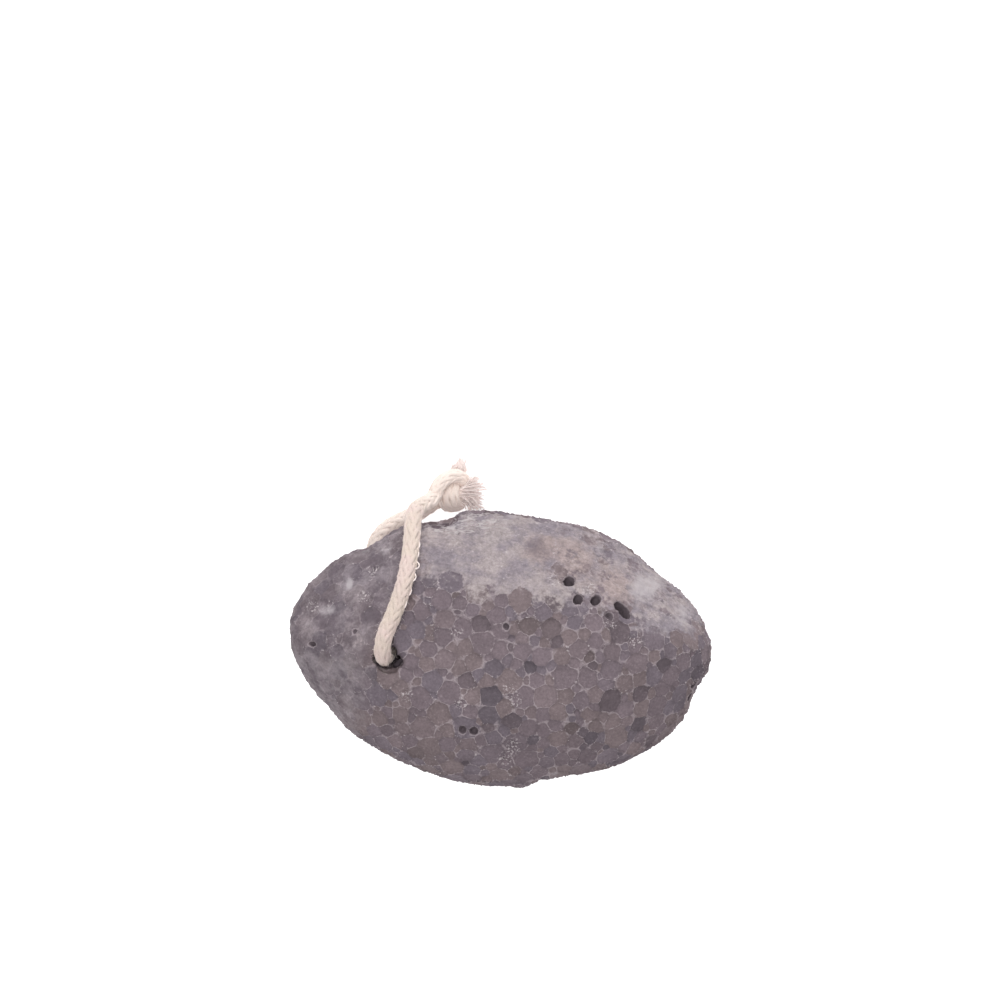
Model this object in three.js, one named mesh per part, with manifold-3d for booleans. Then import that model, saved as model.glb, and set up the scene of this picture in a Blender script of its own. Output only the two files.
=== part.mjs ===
// A pumice foot stone on a cotton cord.
//
// The stone is one lemon-shaped pebble with a broad, nearly flat upper face and two worn bevels
// along its far side. It lies on its flat underside. One slanted hole runs through it near the left
// tip. A soft braided cotton cord comes out of the upper mouth of the hole, lies over the face and
// the far edge, and is tied on the table to its own other end, which comes out from under the stone.
//
// Units are millimetres. +X runs along the stone to its right tip, +Y points to the side where the
// cord is tied, and +Z is up. The origin is on the table, under the middle of the stone.

import * as THREE from "three";
import { mergeVertices } from "three/addons/utils/BufferGeometryUtils.js";
import Module from "manifold-3d";

// ---- Driving dimensions -------------------------------------------------------------------------

const STONE_LENGTH = 95;
const STONE_WIDTH = 62;
const STONE_RISE = 20.3; // from the widest level up to the middle of the upper face
const STONE_DROP = 20.3; // from the widest level down to where the underside would close
const WIDEST_LEVEL = 19.5; // height of the widest level, lower than STONE_DROP: the rest is cut flat
const STONE_DETAIL = 16; // subdivisions of the icosahedron that the stone is shaped from

const HOLE_RADIUS = 2.9;
const HOLE_MOUTH_RADIUS = 3.1; // the worn rim of the hole
const HOLE_STRETCH = 1.12; // how much wider the hole is along the stone than across it
const HOLE_MOUTH_DEPTH = 7; // from the end of the drilled axis to where the worn rim starts to narrow
const HOLE_TOP = [-25.1, -4.0, 44]; // a point on the axis of the hole, above the stone
const HOLE_BOTTOM = [-24.1, 10.0, -2]; // a point on it below the stone
const HOLE_SIDES = 20;

const CORD_RADIUS = 2;
const CORD_SIDES = 10;
const CORD_STEPS = 56;

const KNOT_CENTRE = [-9.0, 36.2, 4.7];
const KNOT_RADII = [5.4, 5.5, 4.6];
const KNOT_DETAIL = 4;

// ---- The stone ----------------------------------------------------------------------------------

// The widest outline seen from above, as shares of half the length and half the width, anticlockwise.
const OUTLINE = [
  [1.0, 0.01], [0.98, 0.15], [0.89, 0.38], [0.7, 0.63], [0.51, 0.84], [0.21, 0.94], [-0.12, 1.0],
  [-0.45, 0.91], [-0.75, 0.7], [-0.9, 0.49], [-0.98, 0.31], [-1.0, 0.09], [-0.96, -0.13],
  [-0.83, -0.4], [-0.64, -0.68], [-0.45, -0.84], [-0.17, -0.98], [0.09, -1.0], [0.45, -0.9],
  [0.74, -0.72], [0.87, -0.55], [0.93, -0.29],
];

// How square the section is above and below the widest level: 2 is an ellipse.
const ROUNDNESS_ABOVE = 2.9;
const ROUNDNESS_BELOW = 2.3;

// Worn flats: the outward direction of each, and how far it is from the stone's middle.
const FLATS = [
  { out: [0.08, 0.71, 0.7], from_middle: 23.4 }, // long far bevel
  { out: [0.46, 0.68, 0.56], from_middle: 28.0 }, // bevel towards the right tip
  { out: [-0.45, 0.5, 0.74], from_middle: 29.4 }, // left shoulder
  { out: [-0.5, -0.45, 0.74], from_middle: 31.2 }, // near left
  { out: [0.5, -0.4, 0.77], from_middle: 31.0 }, // near right
  { out: [0.04, -0.66, 0.75], from_middle: 27.0 }, // near edge of the face
  { out: [-0.27, 0.34, -0.9], from_middle: 20.6 }, // underside by the hole, where the cord passes
];
const FLAT_SHARPNESS = 20; // the higher, the tighter the edge between two flats

// Chips along the widest outline: where each is, how far it spreads and how deep it goes.
const CHIPS = [
  { at: [-0.45, 0.89, 0.05], spread: 0.11, depth: 2.1 },
  { at: [0.39, -0.92, -0.05], spread: 0.16, depth: 2.0 },
  { at: [0.9, -0.43, 0.1], spread: 0.16, depth: 1.0 },
  { at: [-0.84, 0.54, 0.1], spread: 0.14, depth: 0.9 },
];

// Shallow swells that keep the surface from being perfectly even: waves across the stone.
const SWELLS = [
  { along: [3.1, 1.7, 0.6], phase: 0.4, height: 0.28 },
  { along: [-1.9, 4.3, 2.2], phase: 1.9, height: 0.2 },
  { along: [5.7, -3.6, 3.1], phase: 4.1, height: 0.16 },
];

// The outline as a table of angle and distance from the middle, in order of angle.
function outlineTable(samples) {
  const corners = OUTLINE.map(
    ([x, y]) => new THREE.Vector3((x * STONE_LENGTH) / 2, (y * STONE_WIDTH) / 2, 0),
  );
  return new THREE.CatmullRomCurve3(corners, true, "centripetal")
    .getPoints(samples)
    .slice(0, samples)
    .map((point) => ({ angle: Math.atan2(point.y, point.x), radius: point.length() }))
    .sort((a, b) => a.angle - b.angle);
}

const OUTLINE_TABLE = outlineTable(720);

// The outline's distance from the middle at any angle.
function outlineRadius(angle) {
  const found = OUTLINE_TABLE.findIndex((entry) => entry.angle >= angle);
  const after = OUTLINE_TABLE[Math.max(found, 0)];
  const before = OUTLINE_TABLE.at(found > 0 ? found - 1 : -1);
  const turn = (from, to) => THREE.MathUtils.euclideanModulo(to - from, 2 * Math.PI);
  const share = turn(before.angle, angle) / Math.max(turn(before.angle, after.angle), 1e-9);
  return THREE.MathUtils.lerp(before.radius, after.radius, share);
}

// How far the swells and chips move the surface outwards in one direction.
function unevenness(direction) {
  let shift = 0;
  for (const { along, phase, height } of SWELLS) {
    shift += height * Math.sin(direction.dot(new THREE.Vector3(...along)) + phase);
  }
  shift *= Math.abs(direction.z);
  for (const { at, spread, depth } of CHIPS) {
    const apart = direction.angleTo(new THREE.Vector3(...at));
    shift -= depth * Math.exp(-((apart / spread) ** 2));
  }
  return shift;
}

// The distance from the stone's middle to its surface in a direction of length 1: a rounded body
// with the outline above, cut by the worn flats, whose edges are rounded over.
function stoneReach(direction) {
  const above = direction.z >= 0;
  const roundness = above ? ROUNDNESS_ABOVE : ROUNDNESS_BELOW;
  const sideways = Math.hypot(direction.x, direction.y)
    / outlineRadius(Math.atan2(direction.y, direction.x));
  const upright = Math.abs(direction.z) / (above ? STONE_RISE : STONE_DROP);
  let sum = (sideways ** roundness + upright ** roundness) ** (FLAT_SHARPNESS / roundness);
  for (const { out, from_middle } of FLATS) {
    const facing = new THREE.Vector3(...out).normalize().dot(direction);
    sum += Math.max(0, facing / from_middle) ** FLAT_SHARPNESS;
  }
  return sum ** (-1 / FLAT_SHARPNESS) + unevenness(direction);
}

// The whole pebble before it is drilled, standing on its flat underside, centred over the origin.
function pebbleGeometry() {
  const geometry = new THREE.IcosahedronGeometry(1, STONE_DETAIL);
  const position = geometry.getAttribute("position");
  const point = new THREE.Vector3();
  for (let i = 0; i < position.count; i++) {
    point.fromBufferAttribute(position, i).normalize();
    point.multiplyScalar(stoneReach(point));
    position.setXYZ(i, point.x, point.y, Math.max(0, point.z + WIDEST_LEVEL));
  }
  geometry.computeBoundingBox();
  const middle = geometry.boundingBox.getCenter(new THREE.Vector3());
  return geometry.translate(-middle.x, -middle.y, 0);
}

// The drill that makes the hole: a bar that widens at both mouths, set along a slanted axis.
function drillGeometry() {
  const top = new THREE.Vector3(...HOLE_TOP);
  const axis = new THREE.Vector3(...HOLE_BOTTOM).sub(top);
  const end = axis.length() / 2;
  const profile = [
    [0, -end],
    [HOLE_MOUTH_RADIUS, -end],
    [HOLE_MOUTH_RADIUS, -end + HOLE_MOUTH_DEPTH],
    [HOLE_RADIUS, -end + 2 * HOLE_MOUTH_DEPTH],
    [HOLE_RADIUS, end - 2 * HOLE_MOUTH_DEPTH],
    [HOLE_MOUTH_RADIUS, end - HOLE_MOUTH_DEPTH],
    [HOLE_MOUTH_RADIUS, end],
    [0, end],
  ].map(([radius, along]) => new THREE.Vector2(radius, along));
  const geometry = new THREE.LatheGeometry(profile, HOLE_SIDES).scale(HOLE_STRETCH, 1, 1);
  const turn = new THREE.Quaternion().setFromUnitVectors(
    new THREE.Vector3(0, -1, 0),
    axis.clone().normalize(),
  );
  const middle = top.addScaledVector(axis, 0.5);
  return geometry.applyQuaternion(turn).translate(middle.x, middle.y, middle.z);
}

// ---- The cord -----------------------------------------------------------------------------------

// The middle line of the cord from the knot, over the far edge and the face, down the hole, and
// along the table from under the stone back to the knot.
const CORD_ROUTE = [
  [-14.8, 33.9, 8.6],
  [-16.9, 32.8, 12.2],
  [-18.3, 31.9, 16.4],
  [-19.1, 31.0, 21.4],
  [-19.6, 29.2, 27.0],
  [-19.8, 25.5, 31.4],
  [-20.3, 20.2, 35.8],
  [-21.3, 15.2, 38.7],
  [-22.8, 10.4, 40.0],
  [-24.6, 6.0, 40.7],
  [-26.2, 2.2, 41.0],
  [-26.3, -0.9, 39.9],
  [-25.8, -2.0, 36.6],
  [-25.1, -0.3, 30.5],
  [-24.8, 2.5, 21.5],
  [-24.5, 5.3, 12.5],
  [-24.6, 7.8, 6.8],
  [-25.4, 11.0, 3.5],
  [-27.2, 15.0, 2.1],
  [-28.9, 19.4, 2.05],
  [-28.8, 23.2, 2.05],
  [-26.7, 26.5, 2.05],
  [-23.2, 28.6, 2.05],
  [-19.3, 30.2, 2.05],
  [-15.4, 32.6, 2.2],
];

// The free cord as one round tube, open to neither side, with a flat end at each side of the knot.
function cordGeometry() {
  const route = CORD_ROUTE.map((point) => new THREE.Vector3(...point));
  const section = new THREE.Shape(
    new THREE.EllipseCurve(0, 0, CORD_RADIUS, CORD_RADIUS).getPoints(CORD_SIDES).slice(0, CORD_SIDES),
  );
  return new THREE.ExtrudeGeometry(section, {
    steps: CORD_STEPS,
    extrudePath: new THREE.CatmullRomCurve3(route, false, "centripetal"),
  });
}

// The outer shape of the overhand knot and its two short frayed ends.
function knotGeometry() {
  return new THREE.IcosahedronGeometry(1, KNOT_DETAIL)
    .scale(...KNOT_RADII)
    .translate(...KNOT_CENTRE);
}

// ---- Joining and cutting ------------------------------------------------------------------------

const wasm = await Module();
wasm.setup();

// A closed three.js geometry as a solid that can be cut.
function solidOf(geometry) {
  const bare = geometry.clone();
  bare.deleteAttribute("normal");
  bare.deleteAttribute("uv");
  const merged = mergeVertices(bare, 1e-3);
  return new wasm.Manifold(
    new wasm.Mesh({
      numProp: 3,
      vertProperties: merged.getAttribute("position").array,
      triVerts: new Uint32Array(merged.index.array),
    }),
  );
}

// A solid as a three.js geometry.
function geometryOf(solid) {
  const mesh = solid.getMesh();
  const geometry = new THREE.BufferGeometry();
  geometry.setAttribute("position", new THREE.BufferAttribute(mesh.vertProperties, 3));
  geometry.setIndex(new THREE.BufferAttribute(mesh.triVerts, 1));
  geometry.computeVertexNormals();
  return geometry;
}

// ---- The model ----------------------------------------------------------------------------------

const PUMICE = new THREE.MeshStandardMaterial({ color: 0x7b7074, roughness: 0.92, metalness: 0 });
const COTTON = new THREE.MeshStandardMaterial({ color: 0xe0cfc6, roughness: 0.95, metalness: 0 });

function addPiece(group, name, geometry, material) {
  const mesh = new THREE.Mesh(geometry, material);
  mesh.name = name;
  group.add(mesh);
}

const model = new THREE.Group();
const drilled = solidOf(pebbleGeometry()).subtract(solidOf(drillGeometry()));
addPiece(model, "stone", geometryOf(drilled), PUMICE);
addPiece(model, "cord_loop", cordGeometry(), COTTON);
addPiece(model, "cord_knot", knotGeometry(), COTTON);

export default model;
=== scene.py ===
# %% [markdown]
# # A pumice foot stone on a cotton cord
#
# The object is one lemon-shaped pebble of pumice with a hanging cord of braided cotton. It lies on
# its flat underside, and the camera looks straight down on its broad face.
#
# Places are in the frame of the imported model, in metres: +X runs to the right tip of the stone, +Y
# to the side where the cord is tied, and +Z is up. `MM` turns millimetres into metres.

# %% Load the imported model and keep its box
import math

import bmesh
import bpy
import numpy as np
from mathutils import Matrix, Vector, noise
from mathutils.bvhtree import BVHTree


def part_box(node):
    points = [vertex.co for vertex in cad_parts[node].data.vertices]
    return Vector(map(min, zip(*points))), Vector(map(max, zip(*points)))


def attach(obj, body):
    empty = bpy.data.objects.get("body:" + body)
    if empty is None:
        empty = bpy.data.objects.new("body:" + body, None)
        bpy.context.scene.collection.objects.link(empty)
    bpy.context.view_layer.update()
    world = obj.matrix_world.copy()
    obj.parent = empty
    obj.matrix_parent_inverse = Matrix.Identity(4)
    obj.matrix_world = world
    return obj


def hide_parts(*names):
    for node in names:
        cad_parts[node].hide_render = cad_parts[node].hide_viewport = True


MM = 0.001
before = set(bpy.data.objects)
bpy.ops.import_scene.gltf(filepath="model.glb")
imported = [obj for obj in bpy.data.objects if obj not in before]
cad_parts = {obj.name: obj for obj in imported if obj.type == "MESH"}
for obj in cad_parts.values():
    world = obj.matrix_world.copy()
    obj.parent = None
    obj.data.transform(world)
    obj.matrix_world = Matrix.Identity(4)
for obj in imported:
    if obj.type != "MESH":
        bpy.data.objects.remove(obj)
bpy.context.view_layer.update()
stone_low, stone_high = (np.array(corner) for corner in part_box("stone"))
print("stone box in mm:", np.round((stone_high - stone_low) / MM, 1))

# %% [markdown]
# ## The camera
#
# The camera is a long lens far above the stone, because a near camera would make the face bulge.
# Its view is a square of `VIEW_WIDTH` at the level where the stone is widest. The stone sits low in
# it, and the cord's knot is just above the middle.

# %% Camera
WIDEST_LEVEL = 19.5 * MM
VIEW_WIDTH = 225.7 * MM
VIEW_CENTRE = Vector((-0.1 * MM, 33.4 * MM, WIDEST_LEVEL))
CAMERA_DISTANCE = 1.4


def make_camera():
    """A camera that looks straight down on the stone, with +Y at the top of the picture."""
    data = bpy.data.cameras.new("camera")
    data.lens = data.sensor_width * CAMERA_DISTANCE / VIEW_WIDTH
    data.clip_end = 10
    camera = bpy.data.objects.new("camera", data)
    camera.location = VIEW_CENTRE + Vector((0, 0, CAMERA_DISTANCE))
    bpy.context.scene.collection.objects.link(camera)
    bpy.context.scene.camera = camera
    return camera


camera = make_camera()
print("lens:", round(camera.data.lens, 1), "mm")

# %% [markdown]
# ## Small helpers
#
# A finished piece is one mesh object at the origin. Modifiers are applied by reading the evaluated
# mesh back, so that the next step works on plain geometry.

# %% Helpers for pieces
def add_object(name, mesh):
    """Links a mesh to the scene as an object at the origin."""
    piece = bpy.data.objects.new(name, mesh)
    bpy.context.scene.collection.objects.link(piece)
    return piece


def apply_modifiers(piece):
    """Replaces a piece's mesh by the one that its modifiers make."""
    seen = piece.evaluated_get(bpy.context.evaluated_depsgraph_get())
    mesh = bpy.data.meshes.new_from_object(seen)
    piece.modifiers.clear()
    piece.data = mesh


def read_points(mesh, what="co"):
    """The places ("co") or outward directions ("normal") of a mesh's points, one in each row."""
    values = np.empty(len(mesh.vertices) * 3, dtype=np.float32)
    mesh.vertices.foreach_get(what, values)
    return values.reshape(-1, 3).astype(float)


def move_points(mesh, places):
    """Puts a mesh's points at new places."""
    mesh.vertices.foreach_set("co", places.astype(np.float32).ravel())
    mesh.update()


def triangles(mesh):
    """How many triangles a mesh's faces come to."""
    return sum(len(face.vertices) - 2 for face in mesh.polygons)


def store(mesh, name, values):
    """Keeps one number for each point of a mesh, for its material to read."""
    layer = mesh.attributes.new(name, "FLOAT", "POINT")
    layer.data.foreach_set("value", np.asarray(values, dtype=np.float32))


def packed_stone():
    """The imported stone's solid, with the corners of its facets joined."""
    body = bmesh.new()
    body.from_mesh(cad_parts["stone"].data)
    bmesh.ops.remove_doubles(body, verts=body.verts, dist=0.001 * MM)
    return body


def unit(rows):
    """The same directions with length one."""
    return rows / np.linalg.norm(rows, axis=-1, keepdims=True)


def ramp(values, low, high):
    """Rises smoothly from 0 at low to 1 at high."""
    share = np.clip((values - low) / (high - low), 0, 1)
    return share * share * (3 - 2 * share)


def noise_at(points, size, seed=0, octaves=2):
    """Soft noise from about -1 to 1, in blobs about `size` across."""
    shift = Vector((seed * 17.3, seed * 5.1, seed * 11.7))
    return np.array([noise.fractal(Vector(row) + shift, 0.6, 2.0, octaves) for row in points / size])


# %% [markdown]
# ## The cord: its route
#
# The cord is one length of soft braided cotton, four millimetres thick. It starts at a frayed end,
# wraps round its own other end in an overhand knot, climbs over the stone's far edge, lies over the
# face, goes down the hole, comes back along the table under the stone, and runs through the middle of
# the knot to its second frayed end.
#
# The knot could be carved as one lump, but then its turns would have no depth. Here the turns are
# listed point by point, and the whole cord then settles in a short simulation. In it the cord keeps its
# length and stays out of the stone and the table, and the turns of the knot press a little into one another.

# %% The points that the cord follows
CORD_RADIUS = 2.0 * MM
CORD_STEP = 0.5 * MM  # the distance from one of its points to the next
CURVE_STEPS = 40  # points worked out between two corners of its route
# From the knot over the edge and the face, down the hole, and back under the stone to the knot. Its
# fourth point is where the cord is clear of the knot.
LOOP = [
    (-14.8, 33.9, 8.6), (-16.9, 32.8, 12.2), (-18.3, 31.9, 16.4), (-19.1, 31.0, 21.4),
    (-19.6, 29.2, 27.0), (-19.8, 25.5, 31.4), (-20.3, 20.2, 35.8), (-21.3, 15.2, 38.7),
    (-22.8, 10.4, 40.0), (-24.6, 6.0, 40.7), (-26.2, 2.2, 41.0), (-26.3, -0.9, 39.9), (-25.8, -2.0, 36.6),
    (-25.1, -0.3, 30.5), (-24.8, 2.5, 21.5), (-24.5, 5.3, 12.5), (-24.6, 7.8, 6.8), (-25.4, 11.0, 3.5),
    (-27.2, 15.0, 2.1), (-28.9, 19.4, 2.05), (-28.8, 23.2, 2.05), (-26.7, 26.5, 2.05),
    (-23.2, 28.6, 2.05), (-19.3, 30.2, 2.05), (-15.4, 32.6, 2.2),
]
# In the knot, places are measured from its middle: along it, across it and up.
KNOT_MIDDLE = (-11.4, 35.3, 4.6)
KNOT_TURN = math.radians(12)
WRAPPING_END = [
    (4.3, 3.9, -0.7), (2.9, 3.2, -0.8), (1.2, 2.2, 0.5), (0.3, 1.2, 2.2), (0.0, -0.4, 3.3),
    (-0.2, -2.3, 2.6), (-0.3, -3.6, 0.2), (0.2, -2.8, -2.3), (1.2, -0.4, -3.4), (2.4, 1.6, -3.0),
    (3.3, 3.0, -1.2), (2.8, 3.9, 1.2), (1.2, 3.9, 3.2), (-0.9, 3.3, 4.4), (-2.9, 1.8, 4.7),
]
MIDDLE_END = [
    (-2.4, -1.3, -1.4), (-0.4, -0.3, -0.3), (1.4, 0.0, 0.0), (3.2, 0.1, 0.2),
]


def knot_place(along, across, up):
    """A place in the knot, in millimetres in the model's frame."""
    cos, sin = math.cos(KNOT_TURN), math.sin(KNOT_TURN)
    x, y, z = KNOT_MIDDLE
    return (x + along * cos - across * sin, y + along * sin + across * cos, z + up)


def link_lengths(line):
    """How far each point of a line is from the point before it, starting with 0."""
    return np.linalg.norm(np.diff(line, axis=0, prepend=line[:1]), axis=1)


def smooth_line(corners, step):
    """Evenly spaced points along a smooth curve through the corners."""
    rows = np.array(corners, dtype=float)
    rows = np.vstack([2 * rows[0] - rows[1], rows, 2 * rows[-1] - rows[-2]])
    share = np.linspace(0, 1, CURVE_STEPS, endpoint=False)[:, None]
    fine = []
    for before, start, end, after in zip(rows, rows[1:], rows[2:], rows[3:]):
        lean = (end - before) / 2, (after - start) / 2
        bend = 2 * start - 2 * end + lean[0] + lean[1]
        rise = 3 * (end - start) - 2 * lean[0] - lean[1]
        fine.append(((bend * share + rise) * share + lean[0]) * share + start)
    fine = np.vstack([*fine, rows[-2:-1]])
    gone = np.cumsum(link_lengths(fine))
    even = np.linspace(0, gone[-1], round(gone[-1] / step) + 1)
    return np.column_stack([np.interp(even, gone, fine[:, axis]) for axis in range(3)])


corners = [knot_place(*place) for place in WRAPPING_END]
corners += LOOP + [knot_place(*place) for place in MIDDLE_END]
laid = smooth_line(np.array(corners) * MM, CORD_STEP)
print("cord as laid:", round(len(laid) * CORD_STEP / MM, 1), "mm")

# %% Settle the cord
KNOT_RADIUS = 1.8 * MM  # the cord is a little thinner where it is knotted
KNOT_REACH = (4.5 * MM, 9 * MM)  # it is all knot within the first of its middle, and none past the second
KNOT_SQUEEZE = 0.76  # how near its turns are pulled together there, as a share of touching
KNOT_TIGHTEN = 0.95  # how short its turns are pulled, as a share of how they are laid
SETTLE_STEPS = 260
SAG = 0.006 * MM  # how far a free point sinks in one step
NEIGHBOURS = 11  # points nearer along the cord than this may be nearer than two radii
SEARCH = 8 * MM  # how near to the stone's skin a point is before it can be pushed by it
YIELD = 0.5  # how much of its way out of the stone a point goes in one step
PULL = 0.35  # how much of its stretch a link takes back in one step
BEND = 0.25  # how much of its way to the middle between its neighbours a point goes in one step
LAST_STEPS = 45  # steps at the end that only ease the bends
HELD_BENDS = 0.8  # how much less than the loop the knot is eased in those steps
GRIP = 0.08  # how firmly the rough stone holds the cord to its route, for each step
TRIMMED = 3  # points cut off the wrapping end once the knot is tight


def in_knot(line):
    """1 in the middle of the knot, 0 on the loop."""
    away = np.linalg.norm(line - np.array(KNOT_MIDDLE) * MM, axis=1)
    return 1 - ramp(away, *KNOT_REACH)


def cord_radii(line):
    """The cord's radius at each point."""
    return CORD_RADIUS + (KNOT_RADIUS - CORD_RADIUS) * in_knot(line)


def contact_radii(line):
    """How near to each point of the cord another part of it may come."""
    return cord_radii(line) * (1 - (1 - KNOT_SQUEEZE) * in_knot(line))


def rest_lengths(laid):
    """How long each link of the settled cord is: as laid on the loop, pulled tight in the knot."""
    share = in_knot((laid[1:] + laid[:-1]) / 2)
    return CORD_STEP * (1 - (1 - KNOT_TIGHTEN) * share)[:, None]


def push_apart(line, radius):
    """Moves points of the cord that lie in another part of it halfway out of it."""
    between = line[:, None] - line[None]
    apart = np.linalg.norm(between, axis=2) + 1e-9
    index = np.arange(len(line))
    far = np.abs(index[:, None] - index[None]) > NEIGHBOURS
    overlap = np.where(far, np.clip(radius[:, None] + radius[None] - apart, 0, None), 0)
    push = (between / apart[..., None] * overlap[..., None]).sum(axis=1)
    return line + 0.5 * push / np.maximum((overlap > 0).sum(axis=1), 1)[:, None]


def push_out(line, radius, tree):
    """Moves points of the cord out of the stone and the table."""
    for index, (place, size) in enumerate(zip(line, radius)):
        near, normal, _, gap = tree.find_nearest(Vector(place), SEARCH)
        if near is None:
            continue
        outside = (Vector(place) - near).dot(normal) > 0
        depth = size - gap if outside else size + gap
        if depth > 0:
            line[index] += np.array(normal) * depth * YIELD
    line[:, 2] = np.maximum(line[:, 2], radius)
    return line


def keep_length(line, rest):
    """Moves neighbouring points back towards their distance along the cord."""
    link = np.diff(line, axis=0)
    length = np.linalg.norm(link, axis=1, keepdims=True)
    fix = link * (1 - rest / length) * PULL
    line[:-1] += fix
    line[1:] -= fix
    return line


def ease(line, share=1.0):
    """Moves each point a little towards the middle between its neighbours, as a bent cord pulls."""
    line[1:-1] += BEND * share * ((line[:-2] + line[2:]) / 2 - line[1:-1])
    return line


def settle(laid, tree):
    """Lets the laid cord find its rest."""
    line, rest = laid.copy(), rest_lengths(laid)
    grip = GRIP * (1 - in_knot(laid))[:, None]
    for _ in range(SETTLE_STEPS):
        line = ease(line)
        line[:, 2] -= SAG
        line = keep_length(push_apart(line, contact_radii(line)), rest)
        line += grip * (laid - line)
        line = push_out(line, cord_radii(line), tree)
    loose = (1 - HELD_BENDS * in_knot(laid[1:-1]))[:, None]
    for _ in range(LAST_STEPS):
        line = ease(line, loose)
    return line


def stone_tree():
    """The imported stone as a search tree, for the cord to rest against."""
    body = packed_stone()
    tree = BVHTree.FromBMesh(body)
    body.free()
    return tree


line = settle(laid, stone_tree())
moved_most = float(np.linalg.norm(line - laid, axis=1).max())
line = line[TRIMMED:]
cord_length = float(link_lengths(line).sum())
print("cord settled:", round(cord_length / MM, 1), "mm, moved at most", round(moved_most / MM, 2), "mm")

# %% [markdown]
# ## The cord: its braid
#
# A braided cord is sixteen yarns round a plain core: eight turn one way and eight the other, and each
# goes over two and under two of those it meets. A woven picture on a plain tube would look painted in
# the light, so every yarn is a tube of its own, pressed flat against the cord.

# %% Turn lines into tubes
def tubes(name, lines, radii, sides_level=1):
    """One mesh of round tubes, one along each line."""
    curve = bpy.data.curves.new(name, "CURVE")
    curve.dimensions = "3D"
    curve.bevel_depth = 1
    curve.bevel_resolution = sides_level
    for points, radius in zip(lines, radii):
        spline = curve.splines.new("POLY")
        spline.points.add(len(points) - 1)
        spline.points.foreach_set("co", np.column_stack([points, np.ones(len(points))]).ravel())
        spline.points.foreach_set("radius", np.broadcast_to(radius, len(points)).astype(float))
    shape = bpy.data.objects.new(name, curve)
    bpy.context.scene.collection.objects.link(shape)
    seen = shape.evaluated_get(bpy.context.evaluated_depsgraph_get())
    mesh = bpy.data.meshes.new_from_object(seen)
    bpy.data.objects.remove(shape)
    bpy.data.curves.remove(curve)
    mesh.name = name
    return mesh


def close_ends(mesh):
    """Fills the open ends of the tubes and smooths their shading."""
    bm = bmesh.new()
    bm.from_mesh(mesh)
    open_edges = [edge for edge in bm.edges if edge.is_boundary]
    bmesh.ops.holes_fill(bm, edges=open_edges, sides=12)
    bmesh.ops.recalc_face_normals(bm, faces=bm.faces)
    for face in bm.faces:
        face.smooth = True
    bm.to_mesh(mesh)
    bm.free()


FIRST_ACROSS = (0.3, 0.2, 1.0)  # any direction that no line starts in


def frames_along(line):
    """For each point of a line: its direction, and two directions across it that never twist."""
    ahead = unit(np.gradient(line, axis=0))
    side = np.empty_like(ahead)
    side[0] = unit(np.cross(ahead[0], FIRST_ACROSS))
    for index in range(1, len(line)):
        side[index] = unit(side[index - 1] - ahead[index] * np.dot(side[index - 1], ahead[index]))
    return ahead, side, np.cross(ahead, side)


# %% Braid sixteen yarns round the line
YARNS_EACH_WAY = 8
BRAID_PITCH = 19 * MM  # how far along the cord a yarn goes in one turn
YARN_RADIUS = 0.64 * MM
YARN_FLATNESS = 0.5
WEAVE_DEPTH = 0.085 * MM  # how far a yarn rises and sinks as it crosses the others
UNEVEN = 0.1 * MM  # how uneven the soft yarns lie
UNEVEN_SIZE = 1.1 * MM  # how long a bump of a yarn is
WRAP = (2.5 * MM, 4.5 * MM, 11.5 * MM, 14.5 * MM)  # where the band round the knot begins and ends
STRETCH = 1.3  # how much longer the braid's pitch is where the cord is pulled tight
BAND_WIDTH = 1.6  # how wide the hollow braid spreads in the band
BAND_THICKNESS = 0.8  # how flat it is pressed there
BAND_YARN = 0.35  # how much wider its yarns are
BAND_WEAVE = 0.6  # how much less deep they weave
CORE_SHARE = 0.72  # the plain core that fills the braid, as a share of the cord's radius
PAINTED_LIGHT_LEVELS = (9 * MM, 26 * MM)  # the cotton is painted paler below the first, where the stone shades it, and not above the second


def in_band(gone):
    """1 in the band that is wrapped round the knot's middle, 0 elsewhere."""
    return ramp(gone, *WRAP[:2]) * (1 - ramp(gone, *WRAP[2:]))


def press_band(line, share, ways):
    """Spreads directions across the cord along the knot, and flattens them towards its middle."""
    axis = np.array([math.cos(KNOT_TURN), math.sin(KNOT_TURN), 0])
    spoke = line - np.array(KNOT_MIDDLE) * MM
    spoke = unit(spoke - np.outer(spoke @ axis, axis))
    wider = (BAND_WIDTH - 1) * share * (ways @ axis)
    flatter = (BAND_THICKNESS - 1) * share * (ways * spoke).sum(axis=1)
    return ways + np.outer(wider, axis) + spoke * flatter[:, None]


def braid(line, radius):
    """The lines of the sixteen yarns, and the outward direction at each of their points."""
    links = link_lengths(line)
    ahead, side, up = frames_along(line)
    band = in_band(np.cumsum(links))
    pitch = BRAID_PITCH * (1 + STRETCH * np.maximum(band, ahead[:, 2] ** 2))
    turn = 2 * math.pi * np.cumsum(links / pitch)
    crossing = turn * YARNS_EACH_WAY / math.pi
    lines, outs = [], []
    for way in (1, -1):
        for yarn in range(YARNS_EACH_WAY):
            start = 2 * math.pi * yarn / YARNS_EACH_WAY
            angle = way * turn + start
            phase = crossing + 2 * yarn if way > 0 else crossing - 2 * yarn + 2
            rise = WEAVE_DEPTH * np.cos(math.pi / 2 * (phase - 0.5)) * (1 - BAND_WEAVE * band)
            out = np.cos(angle)[:, None] * side + np.sin(angle)[:, None] * up
            rise += UNEVEN * noise_at(line + out * CORD_RADIUS, UNEVEN_SIZE, seed=31 + yarn)
            reach = radius - YARN_RADIUS * YARN_FLATNESS - WEAVE_DEPTH - UNEVEN / 2 + rise
            lines.append(line + press_band(line, band, out) * reach[:, None])
            outs.append(out)
    return lines, outs


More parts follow.
